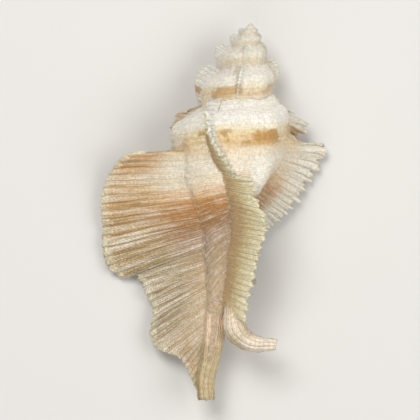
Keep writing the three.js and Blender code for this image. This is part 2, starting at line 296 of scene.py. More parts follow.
def whorl_tree():
    """A tree that bends a grid round the axis into whorls, each one WHORL_GROWTH times the last.

    Columns of the grid run backwards from the lip and rows run from the apex down.
    """
    tree = bpy.data.node_groups.new("grow_whorls", "GeometryNodeTree")
    face = tree.interface
    face.new_socket("Geometry", in_out="OUTPUT", socket_type="NodeSocketGeometry")
    for name in ("Whorl growth", "Lip azimuth", "Body drop", "Columella radius", "Knob height",
                 "Keel height", "Crown sink"):
        face.new_socket(name, in_out="INPUT", socket_type="NodeSocketFloat")
    for name in ("Columns", "Rows"):
        face.new_socket(name, in_out="INPUT", socket_type="NodeSocketInt")
    face.new_socket("Material", in_out="INPUT", socket_type="NodeSocketMaterial")
    given = add(tree, "NodeGroupInput").outputs
    grid = add(tree, "GeometryNodeMeshGrid", 1.0, 1.0, given["Columns"], given["Rows"])
    place = add(tree, "ShaderNodeSeparateXYZ", add(tree, "GeometryNodeInputPosition"))
    across = add(tree, MATH, place.outputs["X"], 0.5, operation="ADD")
    down = add(tree, MATH, place.outputs["Y"], 0.5, operation="ADD")

    # The last column lies on the first, so the seam is the flat wall where growth stopped.
    closing = add(tree, MATH, across, GRID_LAST, operation="GREATER_THAN")
    behind = add(tree, "ShaderNodeMapRange", across,
                 named={"From Max": 1.0, "To Max": SEAM_STRETCH}, clamp=False)
    keep = add(tree, MATH, 1.0, closing, operation="SUBTRACT")
    behind = add(tree, MATH, behind, keep, operation="MULTIPLY")
    azimuth = add(tree, MATH, behind, -360.0, given["Lip azimuth"],
                  operation="MULTIPLY_ADD")
    turn = add(tree, MATH, azimuth, operation="RADIANS")
    bent = add(tree, MATH, down, ROW_CROWDING, operation="POWER")
    drop = add(tree, MATH, bent, given["Body drop"], operation="MULTIPLY")
    fall = add(tree, MATH, behind, -1.0, operation="MULTIPLY")
    last_size = add(tree, MATH, given["Whorl growth"], fall, operation="POWER")

    spire = add(tree, MATH, drop, APEX_SLOPE, operation="MULTIPLY")
    radius = add(tree, MATH, spire, given["Columella radius"], operation="MINIMUM")
    cord = add(tree, MATH, drop, WHORL_OUTLINE[2, 0], operation="MAXIMUM")
    age = behind
    knob_turn = add(tree, MATH, turn, float(KNOBS), math.radians(-KNOBS * KNOB_AZIMUTH),
                    operation="MULTIPLY_ADD")
    knob_wave = add(tree, MATH, knob_turn, operation="COSINE")
    knob_wave = add(tree, MATH, knob_wave, 0.0, operation="MAXIMUM")
    knob_wave = add(tree, MATH, knob_wave, 3.0, operation="POWER")
    before, after = OUTLINE_ENDS
    drops = np.concatenate([[WHORL_OUTLINE[0, 0] - before], WHORL_OUTLINE[:, 0],
                            [WHORL_OUTLINE[-1, 0] + after]])
    radii = np.concatenate([[0.0], WHORL_OUTLINE[:, 1], [0.0]])
    outline_points = [(0.0, 0.0), *zip(drops / SHELL_LENGTH, radii / OUTLINE_SCALE), (1.0, 0.0)]
    for whorl in range(WHORLS):
        size = add(tree, MATH, last_size, WHORL_GROWTH ** -whorl, operation="MULTIPLY")
        own_drop = add(tree, MATH, drop, size, operation="DIVIDE")
        share = add(tree, MATH, own_drop, 1 / SHELL_LENGTH, operation="MULTIPLY")
        outline = add(tree, "ShaderNodeFloatCurve", named={"Value": share}, curve=outline_points)
        knob = add(tree, "ShaderNodeFloatCurve", named={"Value": share}, curve=KNOB_SHARES)
        knob = add(tree, MATH, knob, knob_wave, operation="MULTIPLY")
        knob = add(tree, MATH, knob, given["Knob height"], operation="MULTIPLY")
        keel = add(tree, "ShaderNodeFloatCurve", named={"Value": share}, curve=KEEL_SHARES)
        keel = add(tree, MATH, keel, 0.5, operation="SUBTRACT")
        raised = add(tree, MATH, keel, given["Keel height"], knob, operation="MULTIPLY_ADD")
        own = add(tree, MATH, outline, OUTLINE_SCALE, raised, operation="MULTIPLY_ADD")
        own = add(tree, MATH, own, size, operation="MULTIPLY")
        wider = add(tree, MATH, own, radius, operation="GREATER_THAN")
        whorl_age = add(tree, MATH, behind, float(whorl), operation="ADD")
        radius = add(tree, MATH, radius, own, operation="MAXIMUM")
        cord = add(tree, "GeometryNodeSwitch", wider, cord, own_drop, input_type="FLOAT")
        age = add(tree, "GeometryNodeSwitch", wider, age, whorl_age, input_type="FLOAT")

    # The first and last rows close on the axis.
    top = add(tree, MATH, down, GRID_FIRST, operation="GREATER_THAN")
    base = add(tree, MATH, down, GRID_LAST, operation="LESS_THAN")
    radius = add(tree, MATH, radius, top, operation="MULTIPLY")
    radius = add(tree, MATH, radius, base, operation="MULTIPLY")
    x = add(tree, MATH, radius, add(tree, MATH, turn, operation="COSINE"),
            operation="MULTIPLY")
    steps = add(tree, MATH, drop, 1 / CROWN_DROP, operation="MULTIPLY")
    easing = add(tree, MATH, 1.0, steps, operation="SUBTRACT")
    sink = add(tree, MATH, add(tree, MATH, easing, operation="EXPONENT"), steps, operation="MULTIPLY")
    y = add(tree, MATH, drop, add(tree, MATH, sink, given["Crown sink"], operation="MULTIPLY"),
            operation="SUBTRACT")
    y = add(tree, MATH, y, -1.0, operation="MULTIPLY")
    z = add(tree, MATH, radius, add(tree, MATH, turn, operation="SINE"),
            operation="MULTIPLY")
    body = grid
    for name, value in (("cord", cord), ("age", age)):
        body = add(tree, "GeometryNodeStoreNamedAttribute", body,
                   named={"Name": name, "Value": value}, data_type="FLOAT", domain="POINT")
    body = add(tree, "GeometryNodeSetPosition", body,
               named={"Position": add(tree, "ShaderNodeCombineXYZ", x, y, z)})
    body = add(tree, "GeometryNodeMergeByDistance", body, named={"Distance": WELD})
    body = add(tree, "GeometryNodeFlipFaces", body)
    body = add(tree, "GeometryNodeRealizeInstances", body)
    body = add(tree, "GeometryNodeSetMaterial", body, named={"Material": given["Material"]})
    add(tree, "NodeGroupOutput", body)
    return tree


def whorls(material):
    """The whorls as one closed mesh, grown by their tree."""
    holder = bpy.data.objects.new("whorls", bpy.data.meshes.new("whorls"))
    bpy.context.scene.collection.objects.link(holder)
    return run_tree(holder, whorl_tree(), {
        "Whorl growth": WHORL_GROWTH, "Lip azimuth": LIP_AZIMUTH, "Body drop": BODY_DROP,
        "Columella radius": COLUMELLA_RADIUS, "Knob height": KNOB_HEIGHT,
        "Keel height": KEEL_HEIGHT, "Crown sink": CROWN_SINK, "Columns": WHORL_COLUMNS,
        "Rows": WHORL_ROWS, "Material": material})


# ---- varices and canals ----------------------------------------------------------------------
def curve_through(points, t):
    """A centripetal Catmull-Rom curve through points, at places t from 0 to 1."""
    points = np.asarray(points, dtype=float)
    ends = (2 * points[:1] - points[1:2], 2 * points[-1:] - points[-2:-1])
    padded = np.concatenate([ends[0], points, ends[1]])
    place = np.asarray(t) * (len(points) - 1)
    i = np.clip(np.floor(place).astype(int), 0, len(points) - 2)
    s = (place - i)[:, None]
    p0, p1, p2, p3 = (padded[i + k] for k in range(4))
    d0, d1, d2 = (np.sqrt(np.linalg.norm(b - a, axis=1))[:, None] + 1e-9
                  for a, b in ((p0, p1), (p1, p2), (p2, p3)))
    start = ((p1 - p0) / d0 - (p2 - p0) / (d0 + d1) + (p2 - p1) / d1) * d1
    end = ((p2 - p1) / d1 - (p3 - p1) / (d1 + d2) + (p3 - p2) / d2) * d1
    return (p1 + start * s + (3 * (p2 - p1) - 2 * start - end) * s ** 2
            + (2 * (p1 - p2) + start + end) * s ** 3)


def closed_mesh(name, rings, marks):
    """A closed mesh through rings of equal size, with both ends capped, and its marks."""
    rows, sides = rings.shape[:2]
    points = rings.reshape(-1, 3)
    caps = [rings[0].mean(0), rings[-1].mean(0)]
    at = np.arange(rows * sides).reshape(rows, sides)
    after = np.roll(at, -1, axis=1)
    quads = np.stack([at[:-1], after[:-1], after[1:], at[1:]], -1).reshape(-1, 4)
    faces = quads.tolist()
    hub = rows * sides
    faces += [[hub, b, a] for a, b in zip(at[0], after[0])]
    faces += [[hub + 1, a, b] for a, b in zip(at[-1], after[-1])]
    mesh = bpy.data.meshes.new(name)
    mesh.from_pydata(np.concatenate([points, caps]).tolist(), [], [list(map(int, f)) for f in faces])
    for mark in MARKS:
        values = marks[mark].reshape(rows, sides)
        values = np.concatenate([values.ravel(), [values[0].mean(), values[-1].mean()]])
        mesh.attributes.new(mark, "FLOAT", "POINT").data.foreach_set("value", values)
    piece = bpy.data.objects.new(name, mesh)
    bpy.context.scene.collection.objects.link(piece)
    # A seventh of the faces is enough to tell whether they point outwards.
    corners = np.array([points[f[:3]] for f in quads[::7]])
    volume = np.einsum("ij,ij->i", corners[:, 0] - points.mean(0),
                       np.cross(corners[:, 1] - points.mean(0), corners[:, 2] - points.mean(0))).sum()
    if volume < 0:
        mesh.flip_normals()
    return piece


def blade(name, roots, tips, rows, steps, cords, ages, bow=0.0, edge=BLADE_EDGE, jag=0.0,
          tooth=CORD_SPACING, sharp=1, flares=(2.0, 2.0), glaze=1.0, curl=None, fold=0.0):
    """A varix: a wide foot between its front and back root lines, thinning to a free edge.

    Pairs are for the front and the back face. A flare of 1 is a straight face and a larger one is
    hollow. The edge is jagged by a tooth for each `tooth` of the outline, and curl lifts it.
    """
    t = np.linspace(0, 1, rows)
    u = np.linspace(0, 1, steps) ** 0.85
    front, back = (curve_through(line, t) for line in roots)
    tip = curve_through(tips, t)
    cord = [curve_through(np.array([line]).T, t)[:, 0] for line in cords]
    root = (front + back) / 2
    outward = tip - root
    reach = np.linalg.norm(outward, axis=1, keepdims=True)
    # The teeth are made uneven by a second wave.
    teeth = np.abs(np.cos(np.pi * cord[1] / tooth)) ** sharp + 0.5 * np.sin(cord[1] * 5.3 + 1.0)
    tip = tip + outward / reach * ((teeth - 1.4) * (jag(t) if callable(jag) else jag))[:, None]
    middle = root[:, None] + (tip - root)[:, None] * u[None, :, None]
    middle[..., 2] += bow * reach * 4 * (u * (1 - u))[None]
    if curl is not None:
        middle[..., 2] += curl(t)[:, None] * np.clip((u[None] - 0.45) / 0.55, 0, 1) ** 2
    # Two waves along the varix fold it, more towards its edge.
    waves = 1.6 + np.sin(cord[1] * 1.55) + 0.6 * np.sin(cord[1] * 0.83 + 2.0)
    middle[..., 2] += fold * waves[:, None] * np.clip((u[None] - 0.2) / 0.8, 0, 1)
    normal = np.cross(np.gradient(middle, axis=0), np.gradient(middle, axis=1))
    normal /= np.linalg.norm(normal, axis=2, keepdims=True) + 1e-9
    foot = ((back - front) / 2)[:, None]
    normal *= np.sign((normal * foot).sum(-1, keepdims=True))
    rim = ((u - 0.93) / 0.07).clip(0, 1) ** 2
    rounded = np.sqrt(1 - rim * 0.85)[None, :, None]
    halves = []
    for flare in flares:
        wide = ((1 - u) ** flare)[None, :, None]
        halves.append((foot * wide + normal * (1 - wide) * edge / 2) * rounded)
    ring = np.concatenate([middle + halves[1], (middle - halves[0])[:, ::-1]], axis=1)
    grid = np.ones((rows, steps))
    reached = grid * u[None]
    return closed_mesh(name, ring, {
        "cord": np.concatenate([grid * cord[1][:, None], grid * cord[0][:, None]], axis=1),
        "age": np.concatenate([grid * ages[1], grid * ages[0]], axis=1),
        "reach": np.concatenate([reached, reached[:, ::-1]], axis=1),
        "glaze": np.concatenate([grid * 0, grid * glaze], axis=1)})


def varix(name, table, rows, steps, **shape):
    """A large varix from its table of rows."""
    azimuth, foot, drop, x, tip_drop, height = np.array(table).T
    roots, cords, ages = [], [], []
    for turned in (azimuth, azimuth - foot):
        radius = np.array([body_radius(a, d) for a, d in zip(turned, drop)])
        roots.append(around_axis(turned, drop, radius - ROOT_DEPTH))
        cords.append(drop / growth(turned))
        ages.append(whorls_since(turned.mean()))
    tips = np.stack([x, -tip_drop, height], -1)
    return blade(name, roots, tips, rows, steps, cords, ages, **shape)


def old_varix(index, azimuth, whorls_back, reach):
    """A fin up the spire, where the lip paused in an earlier whorl."""
    size = growth(azimuth, whorls_back)
    radii = size * outline_radius(OLD_FIN_DROPS)
    foot = OLD_FIN_FOOT / 2
    roots = [around_axis(azimuth + turn, OLD_FIN_DROPS * size, radii - ROOT_DEPTH * size)
             for turn in (foot, -foot)]
    stretch = size * reach * OLD_FIN_SHARES
    tips = around_axis(azimuth, OLD_FIN_DROPS * size - EDGE_LIFT * stretch, radii + stretch)
    age = whorls_back + whorls_since(azimuth)
    return blade(f"old_varix_{index}", roots, tips, 34, 12, [OLD_FIN_DROPS] * 2, [age] * 2,
                 edge=BLADE_EDGE * math.sqrt(size), jag=0.7 * size, glaze=0.3)


def tube(name, table, rows, sides, age=0.05, glaze=0.0):
    """A closed tube through a table's places, for a canal or for a cut."""
    table = np.array(table)
    t = np.linspace(0, 1, rows)
    centre = curve_through(np.stack([table[:, 0], -table[:, 1], table[:, 2]], -1), t)
    radius = np.interp(t * (len(table) - 1), np.arange(len(table)), table[:, 3])
    forward = np.gradient(centre, axis=0)
    forward /= np.linalg.norm(forward, axis=1, keepdims=True)
    side = np.cross([0.0, 0.0, 1.0], forward)
    side /= np.linalg.norm(side, axis=1, keepdims=True)
    up = np.cross(forward, side)
    turn = np.linspace(0, 2 * np.pi, sides, endpoint=False)
    ring = (centre[:, None] + radius[:, None, None]
            * (side[:, None] * np.cos(turn)[None, :, None] + up[:, None] * np.sin(turn)[None, :, None]))
    grid = np.ones((rows, sides))
    cord = grid * CANAL_BAND + CORD_SPACING * 5 * turn[None] / np.pi
    along = np.linspace(0.2, 0.9, rows)[:, None]
    return closed_mesh(name, ring, {"cord": cord, "age": grid * age, "reach": grid * along,
                                    "glaze": grid * glaze})


def aperture():
    """The hollow that the animal lived in: the opening's oval, carried half a turn back."""
    steps, sides = 56, 44
    past_lip = 10
    back = APERTURE["turn"] * np.linspace(0, 1, steps) - past_lip
    size = WHORL_GROWTH ** (-back / 360)
    taper = np.sqrt(1 - (0.92 * np.linspace(0, 1, steps)) ** 3)
    angle = np.linspace(0, 2 * np.pi, sides, endpoint=False)
    radius = size[:, None] * (APERTURE["radius"] + APERTURE["half_width"] * taper[:, None] * np.cos(angle))
    drop = size[:, None] * (APERTURE["drop"] + APERTURE["half_height"] * taper[:, None] * np.sin(angle))
    ring = around_axis(np.broadcast_to(LIP_AZIMUTH - back[:, None], radius.shape), drop, radius)
    grid = np.ones((steps, sides))
    return closed_mesh("aperture", ring, {"cord": grid * 36, "age": grid * 0.0, "reach": grid * 0.0,
                                          "glaze": grid})


# ---- one skin --------------------------------------------------------------------------------
def join_solids(base, others, operation):
    """Joins others to a base, or cuts them out of it, in turn."""
    for other in others:
        modifier = base.modifiers.new(other.name, "BOOLEAN")
        modifier.operation = operation
        modifier.solver = "MANIFOLD"
        modifier.object = other
    return bake(base)


def points_of(mesh):
    values = np.empty(len(mesh.vertices) * 3)
    mesh.vertices.foreach_get("co", values)
    return values.reshape(-1, 3)


def mark_values(mesh, mark):
    values = np.zeros(len(mesh.vertices))
    if mark in mesh.attributes:
        mesh.attributes[mark].data.foreach_get("value", values)
    return values


def remember(pieces):
    """A tree of all the pieces' points, and their marks, for the joined skin to look up."""
    places = np.concatenate([points_of(piece.data) for piece in pieces])
    marks = {mark: np.concatenate([mark_values(piece.data, mark) for piece in pieces])
             for mark in MARKS}
    tree = kdtree.KDTree(len(places))
    for i, place in enumerate(places):
        tree.insert(place, i)
    tree.balance()
    return tree, marks


def mark_skin(skin, memory):
    """Gives every point of the skin the marks of the nearest point of its pieces."""
    tree, marks = memory
    found = [tree.find(place) for place in points_of(skin.data)]
    nearest = np.array([index for _, index, _ in found])
    gap = np.array([distance for _, _, distance in found])
    for mark in MARKS:
        attribute = skin.data.attributes.get(mark) or skin.data.attributes.new(mark, "FLOAT", "POINT")
        attribute.data.foreach_set("value", marks[mark][nearest])
    return gap


def soften_joins(skin, gap, width, rounds):
    """Smooths the skin where two pieces meet, within a width of the join."""
    mesh = skin.data
    places = points_of(mesh)
    joins = places[gap > JOIN_GAP]
    tree = kdtree.KDTree(len(joins))
    for i, place in enumerate(joins):
        tree.insert(place, i)
    tree.balance()
    distance = np.array([tree.find(place)[2] for place in places])
    weight = np.clip(1 - distance / width, 0, 1)[:, None]
    edges = np.empty(len(mesh.edges) * 2, dtype=np.int32)
    mesh.edges.foreach_get("vertices", edges)
    a, b = edges.reshape(-1, 2).T
    count = np.bincount(np.concatenate([a, b]), minlength=len(places))[:, None]
    for _ in range(rounds):
        total = np.stack([np.bincount(a, places[b, k], len(places))
                          + np.bincount(b, places[a, k], len(places)) for k in range(3)], -1)
        places = places + weight * JOIN_STEP * (total / np.maximum(count, 1) - places)
    mesh.vertices.foreach_set("co", places.ravel())
    mesh.update()


# ---- relief ----------------------------------------------------------------------------------
def relief_tree():
    """A tree that raises spiral cords, growth flounces and grain on the skin, from its marks."""
    tree = bpy.data.node_groups.new("raise_relief", "GeometryNodeTree")
    face = tree.interface
    face.new_socket("Geometry", in_out="INPUT", socket_type="NodeSocketGeometry")
    face.new_socket("Geometry", in_out="OUTPUT", socket_type="NodeSocketGeometry")
    for name in ("Whorl growth", "Cord spacing", "Cord height", "Wing cord height",
                 "Flounce height", "Grain height", "Lump height", "Seed"):
        face.new_socket(name, in_out="INPUT", socket_type="NodeSocketFloat")
    face.new_socket("Material", in_out="INPUT", socket_type="NodeSocketMaterial")
    given = add(tree, "NodeGroupInput").outputs
    mark = {name: add(tree, "GeometryNodeInputNamedAttribute", name, data_type="FLOAT")
            for name in MARKS}
    fall = add(tree, MATH, mark["age"], -1.0, operation="MULTIPLY")
    size = add(tree, MATH, given["Whorl growth"], fall, operation="POWER")
    unglazed = add(tree, MATH, mark["glaze"], -0.7, 1.0, operation="MULTIPLY_ADD")

    # Cords: round-topped ridges with narrow grooves, some stronger than others.
    wander = add(tree, NOISE, named={"W": given["Seed"], "Scale": 0.12, "Detail": 1.0},
                 noise_dimensions="4D")
    sway = add(tree, MATH, wander.outputs[0], 0.9, mark["cord"], operation="MULTIPLY_ADD")
    count = add(tree, MATH, sway, given["Cord spacing"], operation="DIVIDE")
    angle = add(tree, MATH, count, math.pi, operation="MULTIPLY")
    ridge = add(tree, MATH, add(tree, MATH, angle, operation="COSINE"),
                operation="ABSOLUTE")
    third = add(tree, MATH, add(tree, MATH, angle, 3.0, operation="MULTIPLY"),
                operation="COSINE")
    thread = add(tree, MATH, third, operation="ABSOLUTE")
    ridge = add(tree, MATH, thread, 0.3, ridge, operation="MULTIPLY_ADD")
    rank = add(tree, NOISE, named={"W": sway, "Scale": 0.55, "Detail": 1.0},
               noise_dimensions="1D")
    rank = add(tree, MATH, rank.outputs[0], 1.6, operation="MULTIPLY")
    ridge = add(tree, MATH, ridge, rank, operation="MULTIPLY")
    rise = add(tree, "ShaderNodeMapRange", mark["reach"],
               named={"From Min": 0.1, "From Max": 0.8, "To Min": given["Cord height"],
                      "To Max": given["Wing cord height"]}, interpolation_type="SMOOTHSTEP")
    cords = add(tree, MATH, add(tree, MATH, ridge, 0.8, operation="SUBTRACT"), rise,
                operation="MULTIPLY")

    # Flounces: shallow steps where the edge of a varix paused as it grew outwards.
    ragged = add(tree, NOISE, named={"W": given["Seed"], "Scale": 0.5, "Detail": 2.0},
                 noise_dimensions="4D")
    row = add(tree, MATH, add(tree, MATH, count, 0.5, operation="ADD"), operation="FLOOR")
    offset = add(tree, "ShaderNodeTexWhiteNoise", named={"W": row}, noise_dimensions="1D")
    stage = add(tree, MATH, ragged.outputs[0], 0.18, mark["reach"],
                operation="MULTIPLY_ADD")
    stage = add(tree, MATH, stage, 10.0, offset.outputs[0], operation="MULTIPLY_ADD")
    step = add(tree, MATH, stage, operation="FRACT")
    step = add(tree, MATH, step, mark["reach"], operation="MULTIPLY")
    step = add(tree, MATH, step, add(tree, MATH, ridge, 0.3, operation="ADD"), operation="MULTIPLY")
    flounces = add(tree, MATH, step, given["Flounce height"], operation="MULTIPLY")

    grain = add(tree, NOISE, named={"W": given["Seed"], "Scale": 1.1, "Detail": 3.0},
                noise_dimensions="4D")
    grain = add(tree, MATH, grain.outputs[0], given["Grain height"], operation="MULTIPLY")
    lump = add(tree, NOISE, named={"W": given["Seed"], "Scale": 0.33, "Detail": 2.0},
               noise_dimensions="4D")
    lump = add(tree, MATH, lump.outputs[0], 0.5, operation="SUBTRACT")
    thick = add(tree, MATH, 1.0, mark["reach"], operation="SUBTRACT")
    lump = add(tree, MATH, add(tree, MATH, lump, thick, operation="MULTIPLY"),
               given["Lump height"], operation="MULTIPLY")
    grain = add(tree, MATH, grain, lump, operation="ADD")
    height = add(tree, MATH, cords, flounces, operation="ADD")
    height = add(tree, MATH, height, unglazed, grain, operation="MULTIPLY_ADD")
    height = add(tree, MATH, height, size, operation="MULTIPLY")
    offset = add(tree, "ShaderNodeVectorMath", add(tree, "GeometryNodeInputNormal"),
                 named={"Scale": height}, operation="SCALE")
    skin = add(tree, "GeometryNodeSetPosition", given["Geometry"], named={"Offset": offset})
    skin = add(tree, "GeometryNodeRealizeInstances", skin)
    skin = add(tree, "GeometryNodeSetMaterial", skin, named={"Material": given["Material"]})
    add(tree, "NodeGroupOutput", skin)
    return tree


# ---- finish ----------------------------------------------------------------------------------
def aragonite():
    """Aragonite shell, grown in spiral bands: satin and cream, with ochre and mauve bands.

    Its layers scatter light a little, and the faces laid down by the mantle are glossier.
    """
    material = bpy.data.materials.new("aragonite_shell")
    material.use_nodes = True
    tree = material.node_tree
    tree.nodes.clear()
    mark = {name: add(tree, "ShaderNodeAttribute", attribute_name=name).outputs["Fac"]
            for name in MARKS}
    place = add(tree, "ShaderNodeTexCoord").outputs["Object"]

    # Growth flow: distance across the cords and along them, both in millimetres at the lip.
    outward = add(tree, MATH, mark["reach"], WING_REACH, operation="MULTIPLY")
    flow = add(tree, MATH, mark["age"], WHORL_WALK, outward, operation="MULTIPLY_ADD")
    laid = add(tree, "ShaderNodeCombineXYZ", mark["cord"], flow, 0.0)
    stretched = add(tree, "ShaderNodeMapping", laid, named={"Scale": (0.9, 0.07, 1.0)})
    streak = add(tree, NOISE, stretched, named={"Scale": 1.0, "Detail": 4.0}).outputs[0]
    cloud = add(tree, NOISE, place, named={"Scale": 170.0, "Detail": 3.0}).outputs[0]
    speck = add(tree, NOISE, place, named={"Scale": 1600.0, "Detail": 3.0}).outputs[0]

    # Bands of the whorls, by place on the outline; the spire's bands are bleached.
    jitter = add(tree, MATH, streak, 5.0, -2.5, operation="MULTIPLY_ADD")
    moved = add(tree, MATH, mark["cord"], jitter, operation="ADD")
    share = add(tree, MATH, moved, 1 / SHELL_LENGTH, operation="MULTIPLY")
    body = add(tree, RAMP, share, stops=[
        (0.235, "E8DCC8"), (0.26, "F3EEE2"), (0.315, "F2EDE0"), (0.335, "EBDDB2"), (0.355, "E3C48A"),
        (0.385, "E8D0A6"), (0.43, "F1E6D2"), (0.48, "EEDDBE"), (0.51, "DCAE72"), (0.545, "BC8546"),
        (0.59, "A97E4E"), (0.625, "AD8E70"), (0.67, "B9A07C"), (0.74, "C4A882"), (0.84, "D2B890"),
        (0.94, "CDB08C")])
    bleach = add(tree, "ShaderNodeMapRange", mark["age"],
                 named={"From Min": 0.9, "From Max": 1.7, "To Max": 0.75})
    body = add(tree, MIX, bleach, named={6: body, 7: "F4ECD8"}, data_type="RGBA")

    # Fan of the wings: warm above and greyer below, with fine tan and white bands along the cords.
    fine = add(tree, "ShaderNodeMapping", laid, named={"Scale": (1.5, 0.09, 1.0)})
    fine = add(tree, NOISE, fine, named={"Scale": 1.0, "Detail": 5.0, "Roughness": 0.7}).outputs[0]
    along = add(tree, MATH, mark["cord"], 1 / SHELL_LENGTH, operation="MULTIPLY")
    fan = add(tree, RAMP, along, stops=[
        (0.375, "ECE5D6"), (0.4, "DDB680"), (0.45, "E4C69A"), (0.52, "C9A46E"),
        (0.62, "B7A176"), (0.82, "B5A585"), (0.97, "EBCDA6")])
    pale = add(tree, "ShaderNodeMapRange", fine,
               named={"From Min": 0.47, "From Max": 0.64, "To Max": 0.9})
    fan = add(tree, MIX, pale, named={6: fan, 7: "ECE4D6"}, data_type="RGBA")
    dark = add(tree, "ShaderNodeMapRange", fine,
               named={"From Min": 0.48, "From Max": 0.3, "To Max": 0.8})
    fan = add(tree, MIX, dark, named={6: fan, 7: "8E6836"}, data_type="RGBA")
    old = add(tree, "ShaderNodeMapRange", mark["age"], named={"From Min": 0.22, "From Max": 0.26})
    frill = add(tree, RAMP, fine, stops=[(0.3, "D2C8B2"), (0.45, "EEE8DA"), (0.62, "FAF8F2")])
    fan = add(tree, MIX, old, named={6: fan, 7: frill}, data_type="RGBA")
    moss = add(tree, NOISE, place, named={"Scale": 75.0, "Detail": 2.0}).outputs[0]
    moss = add(tree, "ShaderNodeMapRange", moss,
               named={"From Min": 0.5, "From Max": 0.6, "To Max": 0.6})
    below = add(tree, "ShaderNodeMapRange", mark["cord"], named={"From Min": 50.0, "From Max": 56.0})
    moss = add(tree, MATH, moss, below, operation="MULTIPLY")
    fan = add(tree, MIX, moss, named={6: fan, 7: "A09056"}, data_type="RGBA")
    rim = add(tree, "ShaderNodeMapRange", mark["cord"], named={"From Min": 38.5, "From Max": 36.5})
    on_lip = add(tree, "ShaderNodeMapRange", mark["age"], named={"From Min": 0.24, "From Max": 0.22})
    rim = add(tree, MATH, rim, on_lip, operation="MULTIPLY")
    rim = add(tree, MATH, rim, 0.6, operation="MULTIPLY")
    fan = add(tree, MIX, rim, named={6: fan, 7: "BF8C48"}, data_type="RGBA")
    out_share = add(tree, "ShaderNodeMapRange", mark["reach"],
                    named={"From Min": 0.2, "From Max": 0.65}, interpolation_type="SMOOTHSTEP")
    out_share = add(tree, MATH, out_share, 0.9, operation="MULTIPLY")
    faint = add(tree, MATH, pale, 0.6, operation="MULTIPLY")
    body = add(tree, MIX, faint, named={6: body, 7: "F4ECE0"}, data_type="RGBA")
    coat = add(tree, MIX, out_share, named={6: body, 7: fan}, data_type="RGBA")
    edge = add(tree, MATH, speck, 0.2, mark["reach"], operation="MULTIPLY_ADD")
    edge = add(tree, "ShaderNodeMapRange", edge,
               named={"From Min": 0.98, "From Max": 1.1, "To Max": 0.6})
    coat = add(tree, MIX, edge, named={6: coat, 7: "F0EACC"}, data_type="RGBA")

    # The knob beside the middle varix is worn white.
    knob = add(tree, MATH, mark["age"], -0.39, operation="ADD")
    knob = add(tree, "ShaderNodeMapRange", add(tree, MATH, knob, operation="ABSOLUTE"),
               named={"From Min": 0.06, "From Max": 0.02}, interpolation_type="SMOOTHSTEP")
    beside = add(tree, MATH, add(tree, MATH, mark["cord"], -42.0, operation="ADD"), operation="ABSOLUTE")
    beside = add(tree, "ShaderNodeMapRange", beside,
                 named={"From Min": 7.5, "From Max": 3.0}, interpolation_type="SMOOTHSTEP")
    knob = add(tree, MATH, knob, beside, operation="MULTIPLY")
    coat = add(tree, MIX, knob, named={6: coat, 7: "F7F1E2"}, data_type="RGBA")

    # Blotches of deeper ochre below the shoulder.
    low = add(tree, "ShaderNodeMapRange", mark["cord"],
              named={"From Min": 27.5, "From Max": 29.0}, interpolation_type="SMOOTHSTEP")
    high = add(tree, "ShaderNodeMapRange", mark["cord"],
               named={"From Min": 34.0, "From Max": 31.0}, interpolation_type="SMOOTHSTEP")
    belt = add(tree, MATH, low, high, operation="MULTIPLY")
    patch = add(tree, "ShaderNodeMapRange", cloud,
                named={"From Min": 0.46, "From Max": 0.54}, interpolation_type="SMOOTHSTEP")
    patch = add(tree, MATH, patch, belt, operation="MULTIPLY")
    keep = add(tree, MATH, bleach, -0.9, 0.85, operation="MULTIPLY_ADD")
    patch = add(tree, MATH, patch, keep, operation="MULTIPLY")
    coat = add(tree, MIX, patch, named={6: coat, 7: "BE8A3C"}, data_type="RGBA")

    # Above the broad part of the wing, the newest growth is a whitish frill.
    newest = add(tree, "ShaderNodeMapRange", mark["age"],
                        named={"From Min": 0.16, "From Max": 0.08}, interpolation_type="SMOOTHSTEP")
    above = add(tree, "ShaderNodeMapRange", mark["cord"], named={"From Min": 33.0, "From Max": 30.5})
    above = add(tree, MATH, above, newest, operation="MULTIPLY")
    above = add(tree, MATH, above, 0.8, operation="MULTIPLY")
    coat = add(tree, MIX, above, named={6: coat, 7: "E6DFD0"}, data_type="RGBA")

    # Just below, the newest body growth is washed with tan.
    beneath = add(tree, "ShaderNodeMapRange", mark["cord"], named={"From Min": 31.0, "From Max": 34.0})
    until = add(tree, "ShaderNodeMapRange", mark["cord"], named={"From Min": 46.0, "From Max": 40.0})
    wash = add(tree, MATH, beneath, until, operation="MULTIPLY")
    wash = add(tree, MATH, wash, newest, operation="MULTIPLY")
    inner = add(tree, MATH, out_share, -0.9, 0.9, operation="MULTIPLY_ADD")
    wash = add(tree, MATH, wash, inner, operation="MULTIPLY")
    coat = add(tree, MIX, wash, named={6: coat, 7: "BFA273"}, data_type="RGBA")

    # Glazed faces: brown near the root, yellow cream outwards, white at the rim.
    worn = add(tree, MATH, streak, 0.3, mark["reach"], operation="MULTIPLY_ADD")
    glaze = add(tree, RAMP, worn, stops=[
        (0.12, "E2D4BC"), (0.24, "B4946C"), (0.5, "C4A878"), (0.72, "DCCB9A"), (1.0, "EFE4BE")])
    stain = add(tree, MATH, dark, 0.55, operation="MULTIPLY")
    glaze = add(tree, MIX, stain, named={6: glaze, 7: "95704A"}, data_type="RGBA")
    coat = add(tree, MIX, mark["glaze"], named={6: coat, 7: glaze}, data_type="RGBA")

